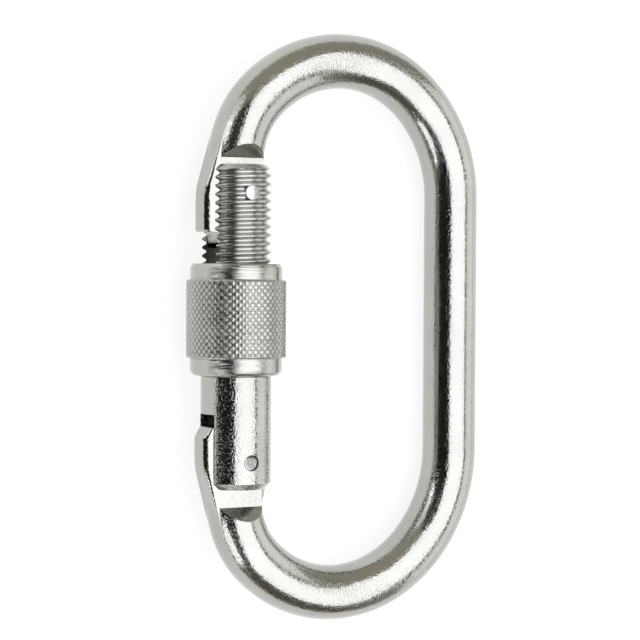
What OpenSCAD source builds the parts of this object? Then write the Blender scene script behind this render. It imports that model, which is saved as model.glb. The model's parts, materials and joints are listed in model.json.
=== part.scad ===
// Oval climbing carabiner in steel, with a screw sleeve on its gate.
// It lies flat: X runs from the gate to the spine, Y along the body
// towards the nose, and Z up. The origin is under the middle of the part.
// Each piece is drawn about the gate's axis (x = 0, y along the axis,
// y = 0 half-way between the bends), then laid on its spine and knurl.

/* [Frame] */
// Diameter of the round bar
bar_d = 9.85; // [9.6:0.05:10.6]
// Distance between the spine's centre line and the gate's axis
oval_w = 44.95; // [43:0.05:50]
// Length between the centre lines of the two end bends
oval_l = 96.5; // [96:0.1:104]
// Distance of the nose-end bend's apex from the spine's centre line
nose_apex = 23.25; // [22:0.05:24]
// Distance of the hinge-end bend's apex from the spine's centre line
hinge_apex = 24.45; // [23:0.05:25.5]
// Radius of the nose-end bend beside the spine
nose_spine_r = 24.9; // [24:0.1:26]
// Radius of the hinge-end bend beside the spine
hinge_spine_r = 26.2; // [25:0.1:27.5]
// Radius of the nose-end bend beside the gate
nose_shoulder_r = 17.1; // [15.5:0.1:18]
// Radius of the hinge-end bend beside the gate
hinge_shoulder_r = 15.8; // [14.5:0.1:17]
// Distance of the bar's ends outside the gate's axis
end_out = 0.25; // [0.1:0.05:0.5]

/* [Nose and eye] */
// Thickness of the flattened nose and eye
tongue_t = 5.1; // [4.6:0.1:5.3]
// Radius of their outer faces about the gate's axis
tongue_r = 7.6; // [7.2:0.1:7.7]
// Distance of the nose's inner edge from the gate's axis
tongue_in = 4.1; // [4:0.1:4.5]
// Distance of the eye's inner edge from the gate's axis, at its top
eye_in = 4.8; // [4.5:0.1:5]
// Slope of the flat facet that leads from the bend to the nose's outer face
nose_facet = 19.5; // [18:0.5:20.5]
// Slope of the flat facet that leads from the bend to the eye's outer face
eye_facet = 18; // [17:0.5:19]
// Height where the nose's tip stops, above mid-length
nose_low = 14.2; // [13.5:0.1:14.5]
// Height of the tip below the nose's outer rib
tip_h = 2.75; // [2.5:0.05:3]
// Width of the outer rib beyond the tip
rib_w = 2.6; // [2:0.1:3]
// Taper of the tip's outer face
tip_in = 1; // [0.6:0.1:1.2]
// Bevel under the tip
tip_bevel = 0.7; // [0.4:0.1:1]
// Bevel under the outer rib
rib_bevel = 0.4; // [0.2:0.1:0.6]
// Height of the eye's flat top above the hinge
eye_h = 6.2; // [6:0.1:6.5]
// Bevel on the eye's inner corner
eye_bevel = 1.6; // [1.4:0.1:2]
// Width of the bevel on the eye's outer corner
eye_corner_w = 1.5; // [1:0.1:2]
// Height of the bevel on the eye's outer corner
eye_corner_h = 2.1; // [1.5:0.1:2.5]
// Gap between the gate's nose end and the bar's shoulder
nose_gap = 1.2; // [1.1:0.1:2]
// Gap between the gate's hinge end and the bar's shoulder
hinge_gap = 3.2; // [2.8:0.1:3.5]

/* [Gate] */
// Diameter of the gate's plain shank
shank_d = 12.5; // [12.5:0.1:12.8]
// Height of the latch pin above mid-length
latch_up = 23.85; // [23:0.05:25]
// Height of the hinge below mid-length
hinge_down = 23.5; // [23:0.1:25]
// Length of the gate beyond its latch pin
latch_end = 5; // [4.5:0.05:5.2]
// Length of the gate beyond its hinge
hinge_end = 4.85; // [4.4:0.05:5.2]
// Depth of the latch slot below the latch pin
latch_slot = 12.85; // [12.5:0.05:13.5]
// Height of the hinge slot above the hinge
hinge_slot = 8.4; // [8.2:0.1:9]
// Chamfer on the gate's two ends
end_chamfer = 1; // [0.5:0.1:1.2]
// Height of the shank's shoulder under the sleeve, below mid-length
shoulder_down = 8.5; // [8.3:0.1:9.5]

/* [Thread] */
// Crest diameter of the gate's thread
thread_d = 12.2; // [11.8:0.1:12.3]
// Distance between neighbouring crests
thread_pitch = 1.5; // [1:0.25:2]
// Depth of the thread
thread_depth = 0.7; // [0.5:0.1:0.9]

/* [Sleeve] */
// Length of the sleeve
sleeve_l = 19.8; // [19:0.1:21]
// Diameter of the sleeve's two plain collars
collar_d = 16.3; // [16.2:0.1:16.6]
// Length of the collar at the hinge end
hinge_collar = 3.2; // [3.2:0.1:4]
// Length of the collar at the nose end
nose_collar = 2.8; // [2:0.1:3.5]
// Rounding on the outer edge of the collar at the hinge end
hinge_round = 1.2; // [0.8:0.1:1.4]
// Rounding on the outer edge of the collar at the nose end
nose_round = 0.4; // [0.2:0.05:0.4]
// Length of the short bore that runs on the thread
thread_seat = 2.8; // [2:0.1:3]
// Diameter over the knurl's points
knurl_d = 17.8; // [17.5:0.1:18.5]
// Depth of the knurl
knurl_depth = 0.55; // [0.3:0.05:0.6]
// Knurl points around the sleeve
knurl_around = 46; // [36:1:56]
// Knurl points along the sleeve
knurl_rows = 11; // [8:1:14]

/* [Pins, plunger and spring] */
// Diameter of the latch pin
latch_pin_d = 2.7; // [2.4:0.1:3]
// Diameter of the hinge rivet
rivet_d = 2.8; // [2.4:0.1:3.2]
// Depth of the rivet's ends below the shank's surface
rivet_sink = 0.4; // [0.2:0.1:0.6]
// Diameter of the plunger
plunger_d = 5.2; // [4.8:0.1:5.2]
// Length of the plunger
plunger_l = 5.8; // [5:0.1:6.5]
// Radius of the plunger's rounded nose
dome_r = 2.75; // [2.7:0.05:3]
// Depth of the spring bore above the hinge slot
spring_bore = 16.2; // [15:0.1:18]
// Diameter of the spring's wire
wire_d = 0.7; // [0.5:0.05:0.8]
// Turns of the spring
spring_turns = 8; // [6:1:10]

/* [Fits] */
// Side gap between the tongues and the gate's slots
slot_gap = 0.2; // [0.1:0.05:0.3]
// Radial gap between the latch pin and its notch in the nose
notch_gap = 0.15; // [0.1:0.05:0.3]
// Radial gap of the rivet in the eye
hinge_fit = 0.05; // [0.03:0.01:0.1]
// Radial gap of the pins in the gate
pin_fit = 0.02; // [0.01:0.01:0.04]
// Radial gap between the sleeve and the thread
thread_fit = 0.05; // [0.03:0.01:0.1]
// Radial gap between the sleeve and the nose
nose_fit = 0.1; // [0.08:0.01:0.2]
// Radial relief of the sleeve's wide bore between its collars
bore_relief = 0.15; // [0.1:0.05:0.2]
// Radial gap of the plunger in its bore
plunger_fit = 0.05; // [0.03:0.01:0.1]
// Radial gap of the spring in its bore
spring_fit = 0.15; // [0.1:0.05:0.3]
// Gap between the plunger and the eye, and under the sleeve
rest_gap = 0.1; // [0.05:0.05:0.15]

/* [Hidden] */
$fn = 64;

// Heights along the gate's axis
latch_y = latch_up;
hinge_y = -hinge_down;
gate_top = latch_y + latch_end;
gate_low = hinge_y - hinge_end;
latch_floor = latch_y - latch_slot;
hinge_ceiling = hinge_y + hinge_slot;
shoulder_y = -shoulder_down;
sleeve_low = shoulder_y + rest_gap;
sleeve_top = sleeve_low + sleeve_l;
eye_top = hinge_y + eye_h;

// Bar and its bends
bar_r = bar_d / 2;
half_l = oval_l / 2;
half_t = tongue_t / 2;
half_slot = half_t + slot_gap;
// Half-width of the bar where the flats cut it
bar_flat = sqrt(bar_r * bar_r - half_t * half_t);
// Distance of each apex from the bar's end beside the gate
nose_across = oval_w - nose_apex + end_out;
hinge_across = oval_w - hinge_apex + end_out;

// Sleeve bore that clears the nose when the sleeve is up
wide_bore_r = tongue_r + nose_fit;

// Plunger and spring, on the gate's axis
plunger_r = plunger_d / 2;
plunger_low = eye_top + rest_gap;
plunger_top = plunger_low + plunger_l;
bore_r = plunger_r + plunger_fit;
bore_top = hinge_ceiling + spring_bore;
coil_r = bore_r - wire_d / 2 - spring_fit;
wire_sides = 6;
turn_steps = 14;

// The part rests on its spine and on its knurl
rest_tilt = asin((knurl_d - bar_d) / 2 / oval_w);
rest_lift = knurl_d / 2;
rest_shift = (knurl_d / 2 - bar_r - oval_w * cos(rest_tilt)) / 2;

module lay() {
    translate([rest_shift, 0, rest_lift]) rotate([0, rest_tilt, 0]) children();
}

// A round along the gate's axis from y = low to y = high
module axis_round(r, low, high) {
    translate([0, low, 0]) rotate([-90, 0, 0]) cylinder(r = r, h = high - low);
}

// A round across the gate, through its whole thickness
module cross_round(r, y, half) {
    translate([0, y, -half]) cylinder(r = r, h = 2 * half);
}

// Part of a bend: the bar swung about (cx, cy), from angle a on
module bend(cx, cy, r, a, sweep = 90) {
    translate([cx, cy, 0]) rotate([0, 0, a])
        rotate_extrude(angle = sweep, $fn = 128) translate([r, 0]) circle(r = bar_r);
}

// A quarter bend is two arcs of 45 degrees: one of radius r beside the straight
// bar, and a second one that reaches the apex, w across from that bar's axis
function apex_r(r, w) = (w - r * (1 - cos(45))) / cos(45);
// Height of its straight end below the apex
function bend_h(r, w) = r * sin(45) + apex_r(r, w) * (1 - sin(45));

// Outer edge of a tongue: a straight facet that leaves the bend of radius r,
// with its centre at height c, at that slope
function facet(r, c, slope) =
    let (start = [r - end_out - (r + bar_flat) * cos(slope),
                  c + (r + bar_flat) * sin(slope)])
    [start, [-tongue_r, start.y - (start.x + tongue_r) / tan(slope)]];

// Cuts the bar to the tongue's thickness below y, with 45 degree shoulders
module flats(y) {
    for (side = [-1, 1])
        rotate([0, -90, 0]) translate([0, 0, -bar_d])
            linear_extrude(2 * bar_d)
                polygon([[side * half_t, y], [side * half_t, y - 2 * bar_d],
                         [side * 2 * bar_d, y - 2 * bar_d],
                         [side * 2 * bar_d, y + 2 * bar_d - half_t]]);
}

// A tongue from its outline, turned round on the outside about the gate's axis
module tongue(outline, low, high) {
    intersection() {
        translate([0, 0, -half_t]) linear_extrude(tongue_t) polygon(outline);
        axis_round(tongue_r, low, high, $fn = 96);
    }
}

// Gate-side bend of radius r with its apex w across at half_l, and the bar from
// there down to the shoulder's foot at height y
module bar_end(r, w, y) {
    far = apex_r(r, w);
    c = half_l - bend_h(r, w);
    translate([-end_out, 0, 0]) {
        bend(w, half_l - far, far, 90, 45);
        difference() {
            union() {
                bend(r, c, r, 135, 45);
                if (c > y) axis_round(bar_r, y, c);
            }
            flats(y);
            translate([-bar_d, y - 2 * bar_d, -bar_d])
                cube([2 * bar_d, 2 * bar_d, 2 * bar_d]);
        }
    }
}

// Spine-side bend of radius r with its apex w inside the spine at half_l, and
// its half of the spine
module spine_end(r, w) {
    far = apex_r(r, w);
    c = half_l - bend_h(r, w);
    bend(oval_w - w, half_l - far, far, 45, 45);
    bend(oval_w - r, c, r, 0, 45);
    translate([oval_w, 0, 0]) axis_round(bar_r, 0, c);
}

module nose() {
    c = half_l - bend_h(nose_shoulder_r, nose_across);
    rib_low = nose_low + tip_h;
    tip_out = tongue_r - rib_w;
    tongue(concat(facet(nose_shoulder_r, c, nose_facet),
                  [[-tongue_r, rib_low + rib_bevel],
                   [-tongue_r + rib_bevel, rib_low],
                   [-tip_out, rib_low],
                   [-tip_out + tip_in, nose_low + tip_bevel],
                   [-tip_out + tip_in + 2 * tip_bevel, nose_low],
                   [tongue_in - tip_bevel, nose_low],
                   [tongue_in, nose_low + tip_bevel],
                   [tongue_in, c + bar_r]]),
           nose_low - 1, half_l);
}

// The eye's inner edge leans in to the bar's shoulder
module eye() {
    c = half_l - bend_h(hinge_shoulder_r, hinge_across);
    mirror([0, 1, 0])
        tongue(concat(facet(hinge_shoulder_r, c, eye_facet),
                      [[-tongue_r, -eye_top + eye_corner_h],
                       [-tongue_r + eye_corner_w, -eye_top],
                       [eye_in - eye_bevel, -eye_top],
                       [eye_in, -eye_top + eye_bevel],
                       [eye_in, -gate_low],
                       [bar_flat - end_out, hinge_gap - gate_low],
                       [bar_flat - end_out, c + bar_r]]),
               -eye_top - 1, half_l);
}

// The path of the latch pin through the nose, open towards the spine
module latch_notch() {
    swing = latch_y - hinge_y;
    reach = latch_pin_d / 2 + notch_gap;
    cross_round(reach, latch_y, tongue_t);
    intersection() {
        translate([0, hinge_y, 0]) difference() {
            cross_round(swing + reach, 0, tongue_t, $fn = 256);
            cross_round(swing - reach, 0, 2 * tongue_t, $fn = 256);
        }
        translate([0, 0, -tongue_t]) cube([2 * tongue_in, half_l, 2 * tongue_t]);
    }
}

module frame_bar() {
    spine_end(nose_spine_r, nose_apex);
    bar_end(nose_shoulder_r, nose_across, gate_top + nose_gap);
    mirror([0, 1, 0]) {
        spine_end(hinge_spine_r, hinge_apex);
        bar_end(hinge_shoulder_r, hinge_across, hinge_gap - gate_low);
    }
}

module frame() {
    color([0.78, 0.78, 0.76]) lay() difference() {
        union() {
            frame_bar();
            nose();
            eye();
        }
        latch_notch();
        cross_round(rivet_d / 2 + hinge_fit, hinge_y, tongue_t);
    }
}

// Half outline of the threaded rod: a groove at each pitch from y = low up
function thread_edge(low, high) =
    let (crest = thread_d / 2, root = crest - thread_depth,
         count = floor((high - low) / thread_pitch))
    [for (i = [0 : count - 1]) let (y = low + i * thread_pitch)
        for (p = [[crest, y], [root, y + thread_pitch * 0.45],
                  [root, y + thread_pitch * 0.55]]) p];

module gate_rod() {
    shank_r = shank_d / 2;
    crest = thread_d / 2;
    rotate([-90, 0, 0]) rotate_extrude($fn = 96)
        polygon(concat([[0, gate_low], [shank_r - end_chamfer, gate_low],
                        [shank_r, gate_low + end_chamfer], [shank_r, shoulder_y]],
                       thread_edge(shoulder_y, gate_top - end_chamfer),
                       [[crest, gate_top - end_chamfer],
                        [crest - end_chamfer, gate_top], [0, gate_top]]));
}

// A slot through the rod from one side to the other
module gate_slot(low, high) {
    translate([-shank_d, low, -half_slot]) cube([2 * shank_d, high - low, 2 * half_slot]);
}

module gate() {
    color([0.82, 0.82, 0.80]) lay() difference() {
        gate_rod();
        gate_slot(latch_floor, gate_top + 1);
        gate_slot(gate_low - 1, hinge_ceiling);
        axis_round(bore_r, hinge_ceiling - 1, bore_top);
        cross_round(latch_pin_d / 2 + pin_fit, latch_y, shank_d);
        cross_round(rivet_d / 2 + pin_fit, hinge_y, shank_d);
    }
}

// Knurled ring: crossed grooves leave a point at every second lattice corner,
// and each cell is split along its groove, from one low corner to the other
module knurl_band(low, high) {
    columns = 2 * knurl_around;
    rows = 2 * knurl_rows;
    function point(r, i, y) = [r * cos(360 * i / columns), y, r * sin(360 * i / columns)];
    function radius(i, j) = knurl_d / 2 - ((i + j) % 2 == 0 ? knurl_depth : 0);
    function at(i, j) = j * columns + i % columns;
    function cell(i, j) = (i + j) % 2 == 0
        ? [[at(i, j), at(i + 1, j), at(i + 1, j + 1)],
           [at(i, j), at(i + 1, j + 1), at(i, j + 1)]]
        : [[at(i, j), at(i + 1, j), at(i, j + 1)],
           [at(i + 1, j), at(i + 1, j + 1), at(i, j + 1)]];
    // The bore's wall is two more rows of corners, low one first
    polyhedron(
        points = concat(
            [for (j = [0 : rows], i = [0 : columns - 1])
                point(radius(i, j), i, low + (high - low) * j / rows)],
            [for (y = [low, high], i = [0 : columns - 1])
                point(wide_bore_r + bore_relief, i, y)]),
        faces = concat(
            [for (j = [0 : rows - 1], i = [0 : columns - 1]) each cell(i, j)],
            [for (i = [0 : columns - 1]) each [
                [at(i, rows + 1), at(i + 1, rows + 1), at(i + 1, 0), at(i, 0)],
                [at(i, rows), at(i + 1, rows), at(i + 1, rows + 2), at(i, rows + 2)],
                [at(i, rows + 2), at(i + 1, rows + 2), at(i + 1, rows + 1),
                 at(i, rows + 1)]]]));
}

// Half outline of a collar from y = 0, with a bore and a rounded far edge
module collar_half(h, bore, edge) {
    r = collar_d / 2;
    intersection() {
        union() {
            square([r - edge, h]);
            square([r, h - edge]);
            translate([r - edge, h - edge]) circle(r = edge);
        }
        translate([bore, 0]) square([r, h]);
    }
}

// A collar turned about the gate's axis, from y = start
module collar(start, h, bore, edge) {
    translate([0, start, 0]) rotate([-90, 0, 0]) rotate_extrude($fn = 96)
        collar_half(h, bore, edge);
}

module sleeve() {
    band_low = sleeve_low + hinge_collar;
    band_top = sleeve_top - nose_collar;
    color([0.80, 0.80, 0.78]) lay() union() {
        knurl_band(band_low, band_top);
        collar(band_top, nose_collar, wide_bore_r, nose_round);
        difference() {
            mirror([0, 1, 0])
                collar(-band_low, hinge_collar, thread_d / 2 + thread_fit, hinge_round);
            axis_round(wide_bore_r, sleeve_low + thread_seat, band_low + 1, $fn = 96);
        }
    }
}

module hinge_rivet() {
    color([0.62, 0.62, 0.60]) lay()
        cross_round(rivet_d / 2, hinge_y, shank_d / 2 - rivet_sink);
}

// The latch pin is dressed flush with the thread's crests
module latch_pin() {
    color([0.70, 0.70, 0.68]) lay() intersection() {
        cross_round(latch_pin_d / 2, latch_y, shank_d);
        axis_round(thread_d / 2, latch_y - latch_pin_d, latch_y + latch_pin_d, $fn = 96);
    }
}

// Coil spring as one swept wire between the plunger and the bore's end
module gate_spring() {
    low = plunger_top + wire_d / 2;
    high = bore_top - wire_d / 2;
    rings = spring_turns * turn_steps;
    function wire_point(i, k) =
        let (a = 360 * i / turn_steps, b = 360 * k / wire_sides,
             r = coil_r + wire_d / 2 * cos(b))
        [r * cos(a), low + (high - low) * i / rings + wire_d / 2 * sin(b),
         r * sin(a)];
    function at(i, k) = i * wire_sides + k % wire_sides;
    color([0.55, 0.55, 0.55]) lay() polyhedron(
        points = [for (i = [0 : rings], k = [0 : wire_sides - 1]) wire_point(i, k)],
        faces = concat(
            [for (i = [0 : rings - 1], k = [0 : wire_sides - 1])
                each [[at(i, k), at(i + 1, k), at(i + 1, k + 1)],
                      [at(i, k), at(i + 1, k + 1), at(i, k + 1)]]],
            [[for (k = [0 : wire_sides - 1]) at(0, k)],
             [for (k = [wire_sides - 1 : -1 : 0]) at(rings, k)]]));
}

// Round-nosed plunger that bears on the eye's flat top
module plunger() {
    color([0.65, 0.65, 0.63]) lay() intersection() {
        axis_round(plunger_r, plunger_low, plunger_top);
        union() {
            translate([0, plunger_low + dome_r, 0]) sphere(r = dome_r, $fn = 96);
            axis_round(plunger_d, plunger_low + dome_r, plunger_top + 1);
        }
    }
}

frame();
gate();
sleeve();
hinge_rivet();
latch_pin();
gate_spring();
plunger();
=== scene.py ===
import bmesh
import bpy
import json
import numpy as np
from mathutils import Matrix, Vector


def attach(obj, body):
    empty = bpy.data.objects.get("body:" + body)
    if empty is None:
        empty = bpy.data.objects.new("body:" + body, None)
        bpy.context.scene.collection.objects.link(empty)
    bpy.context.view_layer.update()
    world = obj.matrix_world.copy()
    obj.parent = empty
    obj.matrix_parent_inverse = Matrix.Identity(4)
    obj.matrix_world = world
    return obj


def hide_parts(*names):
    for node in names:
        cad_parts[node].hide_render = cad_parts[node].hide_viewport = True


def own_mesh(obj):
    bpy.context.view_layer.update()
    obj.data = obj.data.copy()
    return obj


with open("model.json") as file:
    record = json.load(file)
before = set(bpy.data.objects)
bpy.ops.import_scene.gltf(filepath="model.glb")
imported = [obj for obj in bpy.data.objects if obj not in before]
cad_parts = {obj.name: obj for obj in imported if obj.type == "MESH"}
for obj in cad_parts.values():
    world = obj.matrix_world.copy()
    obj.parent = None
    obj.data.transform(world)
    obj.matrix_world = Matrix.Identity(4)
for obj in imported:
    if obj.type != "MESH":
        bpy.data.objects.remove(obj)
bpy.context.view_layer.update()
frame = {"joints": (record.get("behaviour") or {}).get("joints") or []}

# Frame: one length of round steel bar bent to an oval. Its two ends are pressed hot to flat
# tongues, the nose and the eye, which leaves a 45 degree shoulder on each side of them. The
# nose is milled for the latch pin, the eye is drilled, and the whole is bright zinc plated.
bar_r, half_l, spine_u, end_out = 4.925, 48.25, 44.95, 0.25
nose_apex_u, eye_apex_u = 21.7, 20.5
tongue_half, tongue_r, nose_low, eye_low = 2.55, 7.6, 14.2, 17.3
gate_joint = next(j for j in frame["joints"] if j["name"] == "gate_swing")
hinge_v, latch_v = -23.5, 23.85
toward_camera_side = -np.array(gate_joint["axis"])
across = np.cross([0, 1, 0], toward_camera_side)
gate_axes = np.array([across, [0, 1, 0], toward_camera_side])
gate_middle = np.array(gate_joint["pos_m"]) - [0, hinge_v / 1000, 0]


def laid(points):
    """Points about the gate's axis, in millimetres (across, along, up), as the carabiner lies:
    turned to the gate's three axes and moved to the gate's middle, in metres."""
    return gate_middle + 0.001 * np.asarray(points, float) @ gate_axes


def cells(rows, columns):
    """Corners of the cells of a grid whose columns close on themselves: each corner, the next in
    its row, and the same two in the next row, backwards."""
    i = np.arange(rows - 1)[:, None] * columns
    j = np.arange(columns)[None, :]
    k = (j + 1) % columns
    return np.stack([i + j, i + k, i + k + columns, i + j + columns], -1).reshape(-1, 4)


def steel_piece(name, points, faces, crease=32):
    """Object from points in millimetres about the gate's axis. Points that meet are merged, all
    faces are turned outwards, and the surface is smooth except at edges above crease degrees."""
    mesh = bpy.data.meshes.new(name)
    mesh.from_pydata(laid(points).tolist(), [], [list(face) for face in faces])
    shape = bmesh.new()
    shape.from_mesh(mesh)
    bmesh.ops.remove_doubles(shape, verts=shape.verts, dist=1.5e-6)
    bmesh.ops.recalc_face_normals(shape, faces=shape.faces)
    shape.to_mesh(mesh)
    shape.free()
    mesh.shade_smooth()
    mesh.set_sharp_from_angle(angle=np.radians(crease))
    piece = bpy.data.objects.new(name, mesh)
    bpy.context.scene.collection.objects.link(piece)
    return piece


def milled(piece, cutters, crease=32):
    """The piece less its cutters, which are then removed: what a drill or a slotting saw leaves."""
    for cutter in cutters:
        cut = piece.modifiers.new(cutter.name, "BOOLEAN")
        cut.operation, cut.solver, cut.object = "DIFFERENCE", "EXACT", cutter
    graph = bpy.context.evaluated_depsgraph_get()
    mesh = bpy.data.meshes.new_from_object(piece.evaluated_get(graph))
    piece.modifiers.clear()
    piece.data = mesh
    mesh.shade_smooth()
    mesh.set_sharp_from_angle(angle=np.radians(crease))
    for cutter in cutters:
        bpy.data.objects.remove(cutter)
    return piece


def drill(name, radius, v, half):
    """A round cutter across the gate: a circle in the (across, along) plane, from -half to half."""
    turn = np.linspace(0, 2 * np.pi, 64, endpoint=False)
    ring = np.stack([radius * np.cos(turn), v + radius * np.sin(turn), 0 * turn], -1)
    return prism(name, ring, [0, 0, half])


def prism(name, ring, half):
    """A cutter: a closed outline carried from -half to +half, with a lid at each end."""
    n = len(ring)
    sides = cells(2, n).tolist()
    lids = [list(range(n)), list(range(2 * n - 1, n - 1, -1))]
    return steel_piece(name, np.concatenate([ring - half, ring + half]), sides + lids)


def smooth_least(a, b, k):
    """The lesser of a and b, rounded off over a width k where they meet."""
    k = np.maximum(k, 1e-9)
    return np.minimum(a, b) - np.clip(k - np.abs(a - b), 0, None) ** 2 / (4 * k)


def smooth_step(t):
    t = np.clip(t, 0, 1)
    return t * t * (3 - 2 * t)


def bend_arcs(first_r, across):
    """A quarter bend is two arcs of 45 degrees, the first of radius first_r beside the straight
    bar, and the second reaches the apex, across from that bar. Returns the second radius and the
    height of the bend's straight end."""
    c45 = np.cos(np.pi / 4)
    apex_r = (across - first_r * (1 - c45)) / c45
    return apex_r, half_l - first_r * c45 - apex_r * (1 - c45)


def bar_end_rows(tight_r, apex_u, facet_slope, foot, outer, inner, ledge):
    """Rows from the tip of a tongue to the apex of its bend. The path runs straight up beside the
    gate's axis, then round the bend's two arcs. Rows lie level until they are past the shoulder
    and then turn, until they are square to the path at the end of the first arc. The tongue's
    outer edges are rounded 1.4 mm above the ledge and 0.3 mm below it, its facet meets the outer
    face in a soft corner, and its tip's rim is a small quarter round."""
    edge_above, edge_below, corner_w, rim_r, facet_blend = 1.4, 0.3, 0.8, 0.25, 0.35
    facet_slope = np.radians(facet_slope)
    wide_r, centre_v = bend_arcs(tight_r, apex_u + end_out)
    reach = tight_r + np.sqrt(bar_r ** 2 - tongue_half ** 2)
    top = np.array([tight_r - end_out - reach * np.cos(facet_slope),
                    centre_v + reach * np.sin(facet_slope)])
    low_v = top[1] - (top[0] + tongue_r) / np.tan(facet_slope)
    tip = outer[0][0]
    level_end = foot + bar_r - tongue_half + 0.25
    tip_turn = np.linspace(0, np.pi / 2, 5)
    level = np.unique(np.round(np.concatenate([
        tip + rim_r * (1 - np.cos(tip_turn)), np.linspace(tip + 0.3, tip + 4.6, 26),
        ledge + np.array([-0.004, 0.004, 0.02, 0.054, 0.117, 0.2, 0.3, 0.4]),
        np.linspace(tip + 4.8, foot - 1, 34), np.linspace(foot - 1, foot, 8),
        foot + np.array([0.02, 0.06, 0.12]), np.linspace(foot + 0.2, level_end, 26)]), 5))
    a_level = np.arcsin(np.clip((level - centre_v) / tight_r, 0, 1))
    start = a_level[-1]
    a_turn = np.linspace(start, np.pi / 4, 34)[1:]
    a_wide = np.linspace(np.pi / 4, np.pi / 2, 36)[1:]
    alpha = np.concatenate([a_level, a_turn, a_wide])
    n0, n1 = len(a_level), len(a_level) + len(a_turn)
    skew = start * (1 - smooth_step((alpha - start) / (np.pi / 4 - start)))
    skew[:n0] = a_level
    beta = alpha - skew
    path = np.stack([tight_r * (1 - np.cos(alpha)) - end_out,
                     centre_v + tight_r * np.sin(alpha)], -1)
    path[n1:] = np.stack([apex_u - wide_r * np.cos(alpha[n1:]),
                          half_l - wide_r + wide_r * np.sin(alpha[n1:])], -1)
    path[:n0, 1] = level
    v = path[:, 1]
    away = np.stack([np.cos(beta), -np.sin(beta)], -1)
    slope = np.array([-tongue_r, low_v]) - top
    slope /= np.linalg.norm(slope)
    gap = top - path
    crossing = ((gap[:, 0] * slope[1] - gap[:, 1] * slope[0])
                / (away[:, 0] * slope[1] - away[:, 1] * slope[0]))
    below = ((path + crossing[:, None] * away - top) @ slope)
    face = np.interp(v, *zip(*outer)) - path[:, 0]
    soft_corner = -smooth_least(-face, -crossing, corner_w)
    # Rows that don't meet the facet have no tongue, which 99 stands for
    tongue_a = np.where(v < foot - 2, soft_corner, np.where(below > 0, crossing, 99))
    rim = rim_r - np.sqrt(np.clip(rim_r ** 2 - np.clip(tip + rim_r - v, 0, rim_r) ** 2, 0, None))
    rows = dict(path=path, away=away, bend=np.full(len(v), float(tight_r)), skew=skew,
                straight=np.where(v < centre_v, 1.0, 0.0), v=v, rim=rim,
                tongue=tongue_a + rim, blend=facet_blend * np.clip(below / 4, 0, 1),
                edge=np.where(v < ledge, edge_below, edge_above),
                inner=np.interp(v, *zip(*inner)) - path[:, 0] - rim,
                bar=np.where(v < foot - 1.5, 0.0, 1.0), round_in=smooth_step((v - foot + 0.8) / 0.9),
                height=np.clip(tongue_half + v - foot, tongue_half, bar_r) - rim)
    rows["height"][n0:] = bar_r
    return rows


def spine_end_rows(spine_r, apex_u):
    """Rows square to the round bar, from the apex of a bend round its two arcs to the spine, and
    on to its middle."""
    apex_r, straight_v = bend_arcs(spine_r, spine_u - apex_u)
    turn = np.radians(np.linspace(90, 0, 65))[1:, None]
    apex_arc = np.hstack([apex_u + apex_r * np.cos(turn), half_l + apex_r * (np.sin(turn) - 1)])
    spine_arc = np.hstack([spine_u + spine_r * (np.cos(turn) - 1),
                           straight_v + spine_r * np.sin(turn)])
    path = np.where(turn > np.pi / 4, apex_arc, spine_arc)
    away = -np.hstack([np.cos(turn), np.sin(turn)])
    straight = np.linspace(straight_v, 0, 6)[1:, None]
    path = np.concatenate([path, np.hstack([spine_u + 0 * straight, straight])])
    away = np.concatenate([away, np.hstack([0 * straight - 1, 0 * straight])])
    zero = np.zeros(len(path))
    return dict(path=path, away=away, bend=zero + 20, skew=zero, straight=zero + 1, v=zero,
                rim=zero, tongue=zero + 99, blend=zero, edge=zero, inner=zero + bar_r,
                bar=zero + 1, round_in=zero + 1, height=zero + bar_r)


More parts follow.
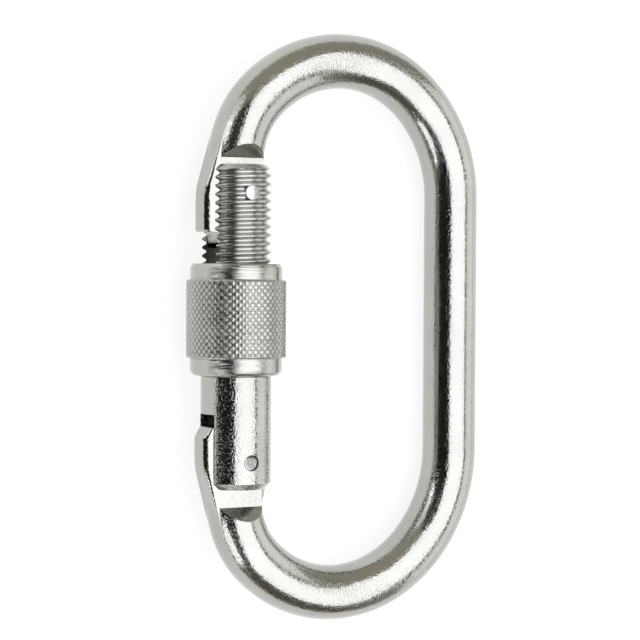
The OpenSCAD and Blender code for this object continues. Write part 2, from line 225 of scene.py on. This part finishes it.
def bar_skin(r):
    """One ring of the frame for each row. From the outside in, its upper half is the tongue's
    outer face, its rounded edge, its flat side, the round bar up to the level where the flats cut
    it, that level, the round bar down again, and the inner face; the lower half mirrors it."""
    col = {k: x[:, None] for k, x in r.items() if x.ndim == 1}

    def bar_at(e):
        """Distance along the row to the bar's wall, whose depth e outside the path is negative
        inwards: on a bend the row cuts the circle of radius bend + e at the angle skew."""
        ring = (col["bend"] + e) ** 2 - (col["bend"] * np.sin(col["skew"])) ** 2
        return np.where(col["straight"] > 0, -e,
                        col["bend"] * np.cos(col["skew"]) - np.sqrt(np.clip(ring, 0, None)))

    def outer_at(w):
        """The outermost of the facet and the bar, held inside the round about the gate's axis."""
        bar = np.where(col["bar"] > 0, bar_at(np.sqrt(np.clip(bar_r ** 2 - w ** 2, 0, None))), 99)
        a = smooth_least(col["tongue"], bar, col["blend"])
        drum = -np.sqrt(tongue_r ** 2 - w ** 2) - r["path"][:, :1]
        return np.where(col["tongue"] < 90, -smooth_least(-a, -drum, 0.3), a)

    side = tongue_half - col["rim"]
    e_side = np.sqrt(bar_r ** 2 - side ** 2)
    foot_a = bar_at(e_side)
    corner = np.minimum(col["edge"], 0.5 * np.clip(foot_a - outer_at(side), 0, None))
    t = np.linspace(0, 1, 11)
    w1 = (side - corner) * t
    quarter = np.linspace(0, np.pi / 2, 7)[1:]
    w2 = side - corner + corner * np.sin(quarter)
    a2 = outer_at(np.minimum(w2, side)) + corner * (1 - np.cos(quarter))
    w3 = side + 0 * t[None, 1:7]
    a3 = a2[:, -1:] + (foot_a - a2[:, -1:]) * np.linspace(0, 1, 7)[None, 1:]
    ease = (1 - np.cos(np.pi * np.linspace(0, 1, 13))) / 2
    low, high = np.arcsin(side / bar_r), np.arcsin(np.clip(col["height"] / bar_r, 0, 1))
    o4 = low + (high - low) * ease[None, 1:]
    cut = np.sqrt(np.clip(bar_r ** 2 - col["height"] ** 2, 0, None))
    e5 = cut * np.cos(np.pi * np.linspace(0, 1, 19))[None, 1:]
    o6 = o4[:, ::-1]
    w7 = side * np.linspace(1, 0, 9)[None, 1:]
    round_in = bar_at(-np.sqrt(bar_r ** 2 - w7 ** 2))
    a7 = col["inner"] + (round_in - col["inner"]) * col["round_in"]
    stop = col["inner"] + (bar_at(-e_side) - col["inner"]) * col["round_in"]
    w = np.concatenate([w1, w2, w3, bar_r * np.sin(o4), col["height"] + 0 * e5,
                        bar_r * np.sin(o6), w7], 1)
    a = np.concatenate([outer_at(w1), a2, a3, np.minimum(bar_at(bar_r * np.cos(o4)), stop),
                        np.minimum(bar_at(e5), stop),
                        np.minimum(bar_at(-bar_r * np.cos(o6)), stop), a7], 1)
    w = np.concatenate([w, -w[:, ::-1]], 1)
    a = np.concatenate([a, a[:, ::-1]], 1)
    spot = r["path"][:, None, :] + a[..., None] * r["away"][:, None, :]
    return np.concatenate([spot, w[..., None]], -1)


# Outlines of the two tongues: the distance across at each height, outer and inner edge. Below the
# nose's ledge its tip is set back, and the eye's inner edge leans in to the bar.
nose_ledge = 16.95
nose_outer = [(nose_low, -2.6), (14.9, -4.0), (nose_ledge - 0.004, -5.0), (nose_ledge + 0.004, -6.9),
              (17.03, -7.19), (17.2, -7.42), (17.42, -7.55), (17.7, -tongue_r), (60, -tongue_r)]
nose_inner = [(nose_low, 3.4), (14.9, 4.1), (60, 4.1)]
eye_outer = [(eye_low, -6.1), (19.4, -tongue_r), (60, -tongue_r)]
eye_inner = [(eye_low, 3.2), (18.9, 4.8), (28.35, 4.8), (31.55, 3.96), (60, 3.96)]
nose_end = [
    bar_skin(bar_end_rows(17.1, nose_apex_u, 19.5, 30.05, nose_outer, nose_inner, nose_ledge)),
    bar_skin(spine_end_rows(24.9, nose_apex_u))]
hinge_end = [
    bar_skin(bar_end_rows(15.8, eye_apex_u, 18.0, 31.55, eye_outer, eye_inner, eye_low)),
    bar_skin(spine_end_rows(26.2, eye_apex_u))]
skin = np.concatenate(nose_end + [part[::-1] * [1, -1, 1] for part in hinge_end[::-1]])
tip_lid, eye_lid = skin[:1] * [1, 1, 0], skin[-1:] * [1, 1, 0]
skin = np.concatenate([tip_lid, skin, eye_lid])
bar = steel_piece("forged_frame", skin.reshape(-1, 3), cells(*skin.shape[:2]))

# The latch pin's notch is an arc about the hinge, open towards the spine
swing, reach = latch_v - hinge_v, 1.5
lean = np.linspace(0, np.arcsin(9 / swing), 12)
round_end = np.linspace(np.pi / 2, 3 * np.pi / 2, 24)[1:-1]
ceiling = np.stack([(swing + reach) * np.sin(lean), hinge_v + (swing + reach) * np.cos(lean)], -1)
floor_arc = np.stack([(swing - reach) * np.sin(lean), hinge_v + (swing - reach) * np.cos(lean)], -1)
end_arc = np.stack([reach * np.cos(round_end), latch_v + reach * np.sin(round_end)], -1)
outline = np.concatenate([ceiling[::-1], end_arc, floor_arc])
notch = prism("notch_cutter", np.hstack([outline, np.zeros((len(outline), 1))]),
              np.array([0, 0, 4]))
bar = milled(bar, [notch, drill("eye_drill", 1.45, hinge_v, 4)])


def plated_steel(name, colour, roughness, pits, rings=0, shoulder=None, groove=None):
    """Bright zinc plate over steel: a metal whose gloss and tone drift a little over a few
    millimetres. Its bump has fine grain, pits half a millimetre wide, and on turned pieces the
    tool's rings about the gate's axis. With a shoulder, the pits lie below that height, and the
    rings and a duller plate above it. A groove attribute paints shade into the plate: it is
    darker where the attribute is 1. All in object space."""
    material = bpy.data.materials.new(name)
    material.use_nodes = True
    nodes, links = material.node_tree.nodes, material.node_tree.links
    shader = nodes["Principled BSDF"]
    shader.inputs["Metallic"].default_value = 1.0
    place = nodes.new("ShaderNodeTexCoord").outputs["Object"]

    def noise(scale, detail, where):
        """Noise with about scale waves to a metre."""
        node = nodes.new("ShaderNodeTexNoise")
        node.inputs["Scale"].default_value = scale
        node.inputs["Detail"].default_value = detail
        links.new(where, node.inputs["Vector"])
        return node.outputs["Fac"]

    def worked_out(operation, *terms):
        """A Math node of that operation, whose terms are sockets or numbers."""
        node = nodes.new("ShaderNodeMath")
        node.operation = operation
        for term, socket in zip(terms, node.inputs):
            if isinstance(term, bpy.types.NodeSocket):
                links.new(term, socket)
            else:
                socket.default_value = term
        return node.outputs["Value"]

    rings_apart = nodes.new("ShaderNodeMapping")
    rings_apart.inputs["Scale"].default_value = (90, 4200, 90)
    links.new(place, rings_apart.inputs["Vector"])
    ringed = noise(1, 2, rings_apart.outputs["Vector"])
    drift = noise(120, 4, place)
    pit = nodes.new("ShaderNodeMapRange")
    pit.interpolation_type = "SMOOTHSTEP"
    pit.inputs["From Min"].default_value = 0.45
    pit.inputs["From Max"].default_value = 0.7
    links.new(noise(3100, 1, place), pit.inputs["Value"])
    tone = nodes.new("ShaderNodeValToRGB")
    darker, lighter = tone.color_ramp.elements
    darker.position, lighter.position = 0.3, 0.72
    darker.color = (*[0.9 * c for c in colour], 1)
    lighter.color = (*colour, 1)
    links.new(drift, tone.inputs["Fac"])
    links.new(tone.outputs["Color"], shader.inputs["Base Color"])
    # Painted shade: down in the knurl's cuts the plate's colour is mixed towards three quarters of
    # itself
    if groove:
        depth = nodes.new("ShaderNodeAttribute")
        depth.attribute_name = groove
        groove_shade = nodes.new("ShaderNodeMix")
        groove_shade.data_type = "RGBA"
        groove_shade.inputs["B"].default_value = (*[0.75 * c for c in colour], 1)
        links.new(depth.outputs["Fac"], groove_shade.inputs["Factor"])
        links.new(tone.outputs["Color"], groove_shade.inputs["A"])
        links.new(groove_shade.outputs["Result"], shader.inputs["Base Color"])
    gloss = nodes.new("ShaderNodeMapRange")
    gloss.inputs["To Min"].default_value = roughness * 0.75
    gloss.inputs["To Max"].default_value = roughness * 1.35
    links.new(drift, gloss.inputs["Value"])
    dullness = gloss.outputs["Result"]
    if shoulder:
        split = nodes.new("ShaderNodeSeparateXYZ")
        links.new(place, split.inputs["Vector"])
        above = worked_out("GREATER_THAN", split.outputs["Y"], shoulder)
        links.new(worked_out("LESS_THAN", split.outputs["Y"], shoulder), pit.inputs["To Max"])
        ringed = worked_out("MULTIPLY", ringed, above)
        dullness = worked_out("MULTIPLY_ADD", above, 0.14, dullness)
    links.new(dullness, shader.inputs["Roughness"])
    normal = None
    for relief, height in ((noise(6000, 2, place), 1e-6), (pit.outputs["Result"], pits),
                           (ringed, rings)):
        if height:
            bump = nodes.new("ShaderNodeBump")
            bump.inputs["Strength"].default_value = 1.0
            bump.inputs["Distance"].default_value = height
            links.new(relief, bump.inputs["Height"])
            if normal:
                links.new(normal, bump.inputs["Normal"])
            normal = bump.outputs["Normal"]
    links.new(normal, shader.inputs["Normal"])
    return material


def finished(piece, material, body, node):
    """The piece gets its plate, rides on its body and stands for its CAD node."""
    piece.data.materials.clear()
    piece.data.materials.append(material)
    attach(piece, body)
    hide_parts(node)


frame_plate = plated_steel("bright_plate_on_forged_bar", (0.445, 0.45, 0.415), 0.09, 1.3e-5)
finished(bar, frame_plate, "frame", "frame")

# Gate: a turned steel rod with a fine V thread cut on its nose half. Both its ends are slotted
# with a saw for the nose and the eye, cross-drilled for the two pins, and bored for the spring.
gate_low, gate_top, shoulder_v = -28.35, 28.85, -8.5
slot_half, latch_floor, hinge_ceiling = 2.75, 11.0, -15.1
bore_r, bore_low, bore_top = 2.65, -15.9, 1.1
shank_r, crest_r, thread_depth, pitch, low_chamfer, top_chamfer = 6.25, 6.1, 0.7, 1.5, 1.1, 0.9
gate_v = np.concatenate([
    [gate_low, gate_low], gate_low + np.array([0.01, 0.55, 1.09, 1.1, 1.11, 1.4]),
    np.linspace(-26.8, shoulder_v - 0.2, 20), shoulder_v + np.array([-0.12, -0.02, 0, 0.02]),
    np.arange(shoulder_v + 0.07, gate_top - 0.01, pitch / 20), [gate_top, gate_top]])
gate_turn = np.linspace(0, 2 * np.pi, 96, endpoint=False)[None, :]
phase = (gate_v[:, None] - shoulder_v) / pitch - gate_turn / (2 * np.pi)
# Thread depth: an S curve down from each narrow flat crest to the root, which leaves flanks of
# about 60 degrees and a rounded root
tooth = np.abs(2 * (phase % 1) - 1)
groove = thread_depth * smooth_step((tooth - 0.13) / 0.76)
wall = np.where(gate_v[:, None] < shoulder_v - 0.01, shank_r, crest_r - groove)
wall = np.minimum(wall, shank_r - low_chamfer + gate_v[:, None] - gate_low)
wall = np.minimum(wall, crest_r - top_chamfer + gate_top - gate_v[:, None])
wall[[0, -1]] = 0
rod = np.stack([wall * np.sin(gate_turn), gate_v[:, None] + 0 * wall,
                wall * np.cos(gate_turn)], -1)
gate = steel_piece("screw_gate", rod.reshape(-1, 3), cells(*rod.shape[:2]))


def saw(name, low, high):
    """A square cutter right across the gate, as wide as its slots, from low to high."""
    ring = np.array([[-9, low, 0], [9, low, 0], [9, high, 0], [-9, high, 0]], float)
    return prism(name, ring, np.array([0, 0, slot_half]))


bore_turn = np.linspace(0, 2 * np.pi, 48, endpoint=False)
bore_ring = np.stack([bore_r * np.sin(bore_turn), 0 * bore_turn + (bore_low + bore_top) / 2,
                      bore_r * np.cos(bore_turn)], -1)
bore = prism("spring_bore", bore_ring, np.array([0, (bore_top - bore_low) / 2, 0]))
gate = milled(gate, [saw("nose_saw", latch_floor, 30), saw("eye_saw", -31, hinge_ceiling), bore,
                     drill("latch_drill", 1.37, latch_v, 8), drill("rivet_drill", 1.42, hinge_v, 8)])
gate_plate = plated_steel("bright_plate_on_turned_rod", (0.45, 0.455, 0.42), 0.09, 2.1e-5, 0.6e-4,
                          shoulder=laid([0, shoulder_v, 0])[1])
finished(gate, gate_plate, "gate", "gate")

# Closing spring: a cold-coiled compression spring of round wire in the gate's bore, with its end
# coils closed. It pushes the plunger on the eye and shortens as the gate opens.
spring_low, spring_high, coil_r, wire_r, coils = -11.05, 0.75, 2.15, 0.35, 8
run = np.linspace(0, 1, coils * 28 + 1)
climb = np.interp(run, [0, 0.11, 0.89, 1], [0, 0.055, 0.945, 1])
turns = 2 * np.pi * coils * run[:, None]
wire = np.linspace(0, 2 * np.pi, 10, endpoint=False)[None, :]
ring_r = coil_r + wire_r * np.cos(wire)
coil = np.stack([ring_r * np.sin(turns), (spring_low + (spring_high - spring_low) * climb)[:, None]
                 + wire_r * np.sin(wire) + 0 * turns, ring_r * np.cos(turns)], -1)
ends = coil[[0, -1]].mean(1, keepdims=True) + 0 * coil[[0, -1]]
coil = np.concatenate([ends[:1], coil, ends[1:]])
spring = steel_piece("closing_spring", coil.reshape(-1, 3), cells(*coil.shape[:2]))
spring_wire = plated_steel("drawn_spring_wire", (0.36, 0.36, 0.35), 0.3, 0.5e-5)
finished(spring, spring_wire, "gate", "gate_spring")
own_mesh(spring)

# Plunger: a hardened pin with a rounded nose, turned in one piece, that slides in the bore and
# bears on the flat top of the eye. Its profile of (radius, height) is carried round the axis.
plunger_r, plunger_low, plunger_top, dome_r = 2.6, -17.2, -11.4, 2.75
dome = np.linspace(0, np.arcsin(plunger_r / dome_r), 18)
profile = np.concatenate([
    np.stack([dome_r * np.sin(dome), plunger_low + dome_r * (1 - np.cos(dome))], -1),
    [[plunger_r, plunger_top - 0.25], [plunger_r - 0.08, plunger_top - 0.08],
     [plunger_r - 0.25, plunger_top], [0, plunger_top]]])
plunger_turn = np.linspace(0, 2 * np.pi, 64, endpoint=False)[None, :]
skin = np.stack([profile[:, :1] * np.sin(plunger_turn), profile[:, 1:] + 0 * plunger_turn,
                 profile[:, :1] * np.cos(plunger_turn)], -1)
plunger = steel_piece("gate_plunger", skin.reshape(-1, 3), cells(*skin.shape[:2]))
plunger_steel = plated_steel("hardened_plunger_steel", (0.42, 0.42, 0.41), 0.2, 0.5e-5)
finished(plunger, plunger_steel, "plunger", "plunger")


# Hinge rivet and latch pin: two plain steel pins pressed through the gate. The rivet's ends
# stand a little below the shank, and the latch pin's are dressed flush with the thread.
def cross_pin(name, radius, v, end_at, edge):
    """A pin across the gate. Its ends are drawn from the middle out: the height at distance q
    from the pin's axis is end_at(q, angle), less a quarter round at the rim."""
    angle = np.linspace(0, 2 * np.pi, 40, endpoint=False)[None, :]
    q = radius * np.array([0, 0.25, 0.5, 0.7, 0.8, 0.86, 0.91, 0.955, 0.985, 1.0])[:, None]
    drop = edge * (1 - np.sqrt(np.clip(1 - np.clip((q - radius + edge) / edge, 0, 1) ** 2, 0, 1)))
    end = end_at(q, angle) - drop
    lid = np.stack([q * np.cos(angle), v + q * np.sin(angle), end], -1)
    skin = np.concatenate([lid, (lid * [1, 1, -1])[::-1]])
    return steel_piece(name, skin.reshape(-1, 3), cells(*skin.shape[:2]), 50)


def hammered_end(q, angle):
    """The rivet's end slopes a little across the gate, and falls off on the nose's side."""
    return (6.0 - 0.12 * q * np.cos(angle)
            - 0.42 * np.clip((q * np.sin(angle) - 0.5) / 0.9, 0, 1) ** 2)


def dressed_end(q, angle):
    """The latch pin's end follows the round of the thread's crests."""
    return np.sqrt(crest_r ** 2 - (q * np.cos(angle)) ** 2)


rivet = cross_pin("hinge_rivet_pin", 1.4, hinge_v, hammered_end, 0.25)
latch = cross_pin("latch_cross_pin", 1.35, latch_v, dressed_end, 0.14)
pin_steel = plated_steel("ground_pin_steel", (0.48, 0.48, 0.46), 0.2, 1.2e-5)
finished(rivet, pin_steel, "gate", "hinge_rivet")
finished(latch, pin_steel, "gate", "latch_pin")

# Sleeve: a turned steel nut with a diamond knurl between two plain collars. Its lower collar
# runs on the gate's thread, and the wide bore above it slips over the nose to lock the gate.
sleeve_low, sleeve_top, knurl_low, knurl_top = -8.4, 11.4, -5.2, 8.6
collar_r, knurl_r, wide_r, seat_r, seat_top, hinge_round = 8.15, 8.9, 7.7, 6.15, -5.6, 1.2
points_round, points_along = 46, 11
turn_steps = points_round * 12
sleeve_turn = np.linspace(0, 2 * np.pi, turn_steps, endpoint=False)[None, :]
quarter = np.radians(np.linspace(-90, 0, 9))
band_v = np.linspace(knurl_low, knurl_top, points_along * 12 + 1)
outside = np.concatenate([
    np.stack([collar_r - hinge_round + hinge_round * np.cos(quarter),
              sleeve_low + hinge_round + hinge_round * np.sin(quarter)], -1),
    [[collar_r, knurl_low - 0.4], [collar_r, knurl_low]],
    np.stack([0 * band_v + knurl_r, band_v], -1),
    [[collar_r, knurl_top], [collar_r, knurl_top + 0.4]],
    [[collar_r, sleeve_top - 0.7], [collar_r - 0.02, sleeve_top - 0.63],
     [collar_r - 0.38, sleeve_top - 0.06], [collar_r - 0.41, sleeve_top]]])
inside = np.array([
    [wide_r + 0.03, sleeve_top], [wide_r, sleeve_top - 0.06], [wide_r, 0], [wide_r, seat_top - 0.01],
    [wide_r - 0.02, seat_top], [seat_r + 0.15, seat_top], [seat_r + 0.05, seat_top - 0.02],
    [seat_r, seat_top - 0.08], [seat_r, sleeve_low + 0.15], [seat_r + 0.1, sleeve_low]])
profile = np.concatenate([outside, inside, outside[:1]])
row_r, row_v = profile[:, :1], profile[:, 1:]
# Knurl: two families of V grooves cross at every half step, and the deeper of the two counts. The
# pyramids between them are low and worn, with a narrow cut round each. The band's two ends are
# chamfered.
crown, cut, cut_start = 0.12, 0.16, 5 / 6
along = (row_v - knurl_low) / (knurl_top - knurl_low) * points_along
around = sleeve_turn / (2 * np.pi) * points_round
families = [np.abs(2 * ((along + s * around) % 1) - 1) for s in (1, -1)]
depth = np.maximum(*families)
depth = crown * depth + cut * np.clip((depth - cut_start) / (1 - cut_start), 0, 1)
in_band = (row_r > collar_r + 0.3) & (row_v >= knurl_low) & (row_v <= knurl_top)
chamfer = np.clip(0.35 - np.minimum(row_v - knurl_low, knurl_top - row_v), 0, None)
sleeve_r = np.where(in_band, np.minimum(row_r - depth, row_r - 0.9 * chamfer), row_r)
skin = np.stack([sleeve_r * np.sin(sleeve_turn), row_v + 0 * sleeve_r,
                 sleeve_r * np.cos(sleeve_turn)], -1)
sleeve = steel_piece("knurled_sleeve", skin.reshape(-1, 3), cells(*skin.shape[:2]), 28)
# How far each point lies down in its cut, from 0 to 1, for painted shade that darkens the plate
# there
spots = np.empty(3 * len(sleeve.data.vertices))
sleeve.data.vertices.foreach_get("co", spots)
spots = (spots.reshape(-1, 3) - gate_middle) @ gate_axes.T * 1000
sunk = (knurl_r - crown - np.hypot(spots[:, 0], spots[:, 2])) / cut
sunk = np.where((spots[:, 1] > knurl_low) & (spots[:, 1] < knurl_top), np.clip(sunk, 0, 1), 0)
sleeve.data.attributes.new("groove", "FLOAT", "POINT").data.foreach_set("value", sunk)
sleeve_plate = plated_steel("bright_plate_on_knurl", (0.45, 0.455, 0.42), 0.12, 0.5e-5, 1.6e-4,
                            groove="groove")
finished(sleeve, sleeve_plate, "sleeve", "sleeve")

# Camera: a long lens about 0.4 m away, 30 degrees round the gate's axis from square on.
angle, rise, roll, distance = np.radians(30), np.radians(1.42), np.radians(0.35), 0.400
picture_px, px_per_mm = 640, 5.497
aim = laid([21.0, 0.1, 0])
back = np.array([-np.sin(angle) * np.cos(rise), np.sin(rise), np.cos(angle) * np.cos(rise)])
right = np.cross([0, 1, 0], back)
right /= np.linalg.norm(right)
up = np.cross(back, right)
right, up = (np.cos(roll) * right + np.sin(roll) * up, np.cos(roll) * up - np.sin(roll) * right)
back, right, up = back @ gate_axes, right @ gate_axes, up @ gate_axes
camera = bpy.data.objects.new("camera", bpy.data.cameras.new("camera"))
bpy.context.scene.collection.objects.link(camera)
turned_to = Matrix(np.stack([right, up, back], -1).tolist()).to_4x4()
camera.matrix_world = Matrix.Translation(Vector(aim + distance * back)) @ turned_to
camera.data.sensor_width = 36
camera.data.lens = px_per_mm * 1000 * distance * camera.data.sensor_width / picture_px
camera.data.shift_x, camera.data.shift_y = -0.0295, 0.0105
camera.data.clip_start, camera.data.clip_end = 0.01, 20
bpy.context.scene.camera = camera


# Stage: a white floor that the carabiner lies on, and a studio round it: one large soft light
# overhead, a pale side card, two small white cards and a grey one, and black and grey cloths
# where the camera stands.
middle = laid([22, 0, 0])


def direction(turns, lifts):
    """Unit vectors seen from the carabiner, in degrees: turned to the camera's right, and lifted
    towards the nose."""
    t, e = np.radians(turns)[:, None], np.radians(lifts)[:, None]
    return np.cos(e) * (np.cos(t) * back + np.sin(t) * right) + np.sin(e) * up


def card(name, away, tone, corners):
    """A flat card square to its mean direction, away metres off, that glows in one tone. Each
    corner lies in its own direction, given as a turn and a lift, and the camera doesn't see it."""
    toward = direction(*np.array(corners, float).T)
    facing = toward.mean(0) / np.linalg.norm(toward.mean(0))
    spots = middle + away * toward / (toward @ facing)[:, None]
    mesh = bpy.data.meshes.new(name)
    mesh.from_pydata(spots.tolist(), [], [list(range(len(spots)))])
    piece = bpy.data.objects.new(name, mesh)
    bpy.context.scene.collection.objects.link(piece)
    material = bpy.data.materials.new(name)
    material.use_nodes = True
    nodes, links = material.node_tree.nodes, material.node_tree.links
    nodes.remove(nodes["Principled BSDF"])
    light = nodes.new("ShaderNodeEmission")
    light.inputs["Color"].default_value = (*tone, 1)
    links.new(light.outputs["Emission"], nodes["Material Output"].inputs["Surface"])
    mesh.materials.append(material)
    piece.visible_camera = False
    return piece


card("soft_light", 1.2, (2.3, 2.3, 2.42),
     [(7, 35), (62, 33), (66, 0), (76, -38), (74, -48), (3, -48), (3, -25), (-1, -10), (4, 10)])
card("side_card", 1.2, (1.38, 1.43, 1.42),
     [(75, 20), (90, 26), (112, 28), (113, 0), (113, -42), (92, -33), (82, -28), (77, -8)])
card("low_white_card", 1.2, (2.3, 2.3, 2.42),
     [(-60, -27), (-52, -22), (-38, -24), (-24, -40), (-22, -48), (-30, -56), (-55, -57)])
card("high_white_card", 1.2, (2.3, 2.3, 2.42),
     [(-62, 32), (-63, 20), (-50, 16), (-38, 20), (-31, 33)])
card("high_grey_card", 1.2, (1.25, 1.25, 1.25),
     [(-60, 32), (-31, 33), (-22, 40), (-24, 48), (-40, 52), (-58, 50)])
card("black_cloth", 1.4, (0.02, 0.02, 0.02),
     [(-62, -7), (-52, -22), (-36, -27), (-6, -27), (4, -8), (6, 8), (5, 15), (-62, 16)])
card("high_grey_cloth", 1.35, (0.07, 0.07, 0.065),
     [(-45, 12), (11, 10), (16, 20), (12, 29), (6, 37), (-26, 37), (-42, 20)])
card("low_grey_cloth", 1.35, (0.13, 0.13, 0.13), [(-34, -24), (5, -24), (5, -56), (-30, -56)])

# The floor lies 0.1 mm below the carabiner. Seen by the camera or in the metal it glows white,
# and otherwise it is a grey that throws little light back.
far, level = 3, -1e-4
floor_mesh = bpy.data.meshes.new("floor")
floor_mesh.from_pydata([(-far, -far, level), (far, -far, level), (far, far, level),
                        (-far, far, level)], [], [[0, 1, 2, 3]])
floor = bpy.data.objects.new("floor", floor_mesh)
bpy.context.scene.collection.objects.link(floor)
paper = bpy.data.materials.new("white_floor")
paper.use_nodes = True
nodes, links = paper.node_tree.nodes, paper.node_tree.links
shader = nodes["Principled BSDF"]
shader.inputs["Base Color"].default_value = (0.22, 0.22, 0.22, 1)
shader.inputs["Roughness"].default_value = 0.9
shader.inputs["Emission Color"].default_value = (1, 1, 1, 1)
rays = nodes.new("ShaderNodeLightPath")
seen = nodes.new("ShaderNodeMath")
seen.operation = "MAXIMUM"
links.new(rays.outputs["Is Camera Ray"], seen.inputs[0])
links.new(rays.outputs["Is Glossy Ray"], seen.inputs[1])
through = nodes.new("ShaderNodeMath")
through.operation = "MAXIMUM"
links.new(seen.outputs["Value"], through.inputs[0])
links.new(rays.outputs["Is Transmission Ray"], through.inputs[1])
glow = nodes.new("ShaderNodeMath")
glow.operation = "MULTIPLY"
glow.inputs[1].default_value = 0.84
links.new(through.outputs["Value"], glow.inputs[0])
links.new(glow.outputs["Value"], shader.inputs["Emission Strength"])
floor_mesh.materials.append(paper)

# The room is a warm grey, darker towards the hinge end of the carabiner
world = bpy.data.worlds.new("studio")
bpy.context.scene.world = world
world.use_nodes = True
nodes, links = world.node_tree.nodes, world.node_tree.links
place = nodes.new("ShaderNodeTexCoord")
split = nodes.new("ShaderNodeSeparateXYZ")
along = nodes.new("ShaderNodeMapRange")
along.inputs["From Min"].default_value = -1
links.new(place.outputs["Generated"], split.inputs["Vector"])
links.new(split.outputs["Y"], along.inputs["Value"])
room = nodes.new("ShaderNodeValToRGB")
for spot, tone in ((0.07, (0.16, 0.145, 0.115)), (0.13, (0.3, 0.29, 0.26)),
                   (0.8, (0.4, 0.385, 0.33)), (0.9, (0.48, 0.455, 0.38))):
    stop = room.color_ramp.elements.new(spot)
    stop.color = (*tone, 1)
room.color_ramp.elements.remove(room.color_ramp.elements[0])
room.color_ramp.elements.remove(room.color_ramp.elements[-1])
links.new(along.outputs["Result"], room.inputs["Fac"])
links.new(room.outputs["Color"], nodes["Background"].inputs["Color"])
bpy.context.scene.view_settings.view_transform = "Standard"
